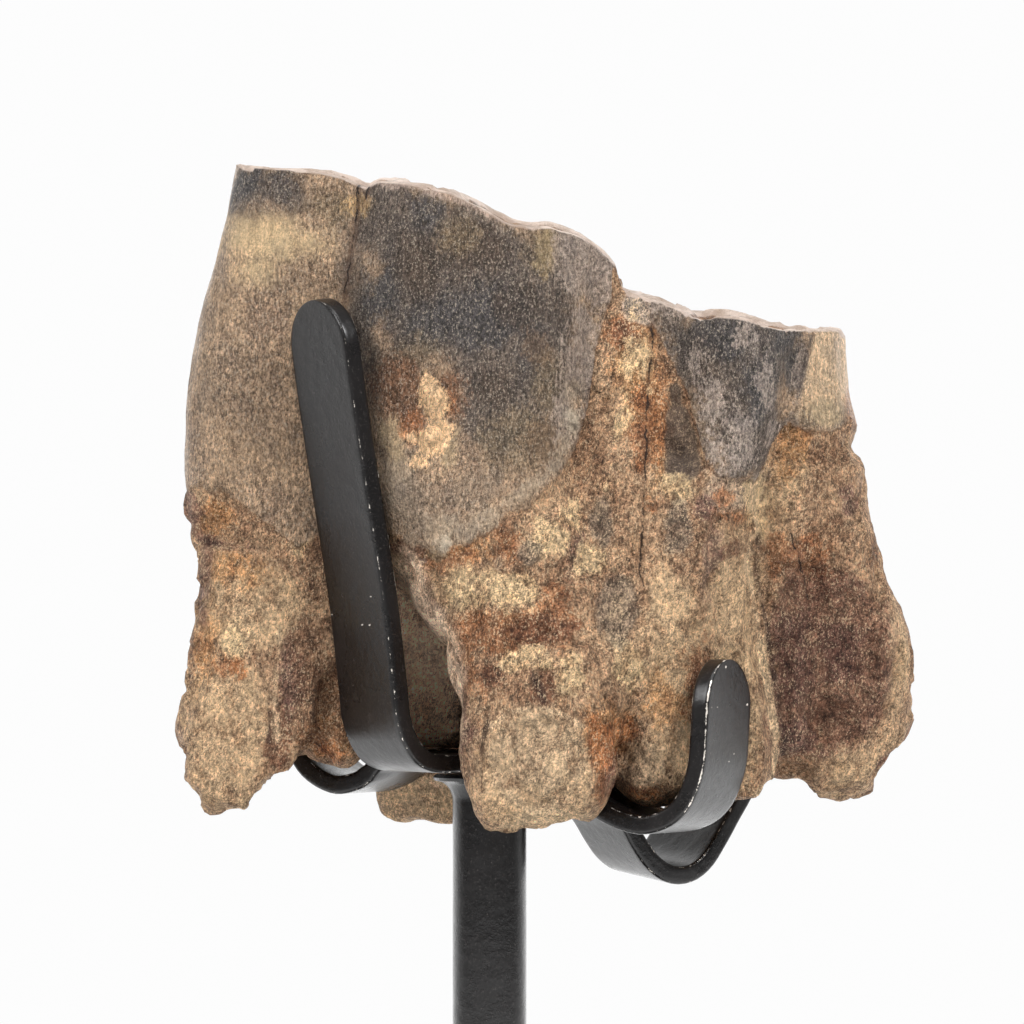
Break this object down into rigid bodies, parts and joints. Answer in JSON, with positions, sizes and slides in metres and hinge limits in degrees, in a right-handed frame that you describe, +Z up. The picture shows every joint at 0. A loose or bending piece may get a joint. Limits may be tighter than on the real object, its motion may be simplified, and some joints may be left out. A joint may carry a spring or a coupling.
{
  "type": "fossil woolly rhino tooth",
  "caption": "Fossil cheek tooth of a woolly rhinoceros with a worn crown and blunt roots, held upright in a bent steel strip cradle on a rod and flat base.",
  "frame": {"origin": "centre of the base's underside, under the rod", "axes": "+Z up, along the rod; -Y towards the tooth's outer face; +X to the right as seen from that face"},
  "size_m": [0.076, 0.076, 0.1291],
  "materials": {
    "fossil": "matte root, semi-gloss enamel",
    "black_steel": "satin black"
  },
  "bodies": {
    "root": {"tooth": "fossil", "long_strip": "black_steel", "front_right_strip": "black_steel", "rear_left_strip": "black_steel", "rod": "black_steel", "base": "black_steel"}
  },
  "joints": []
}
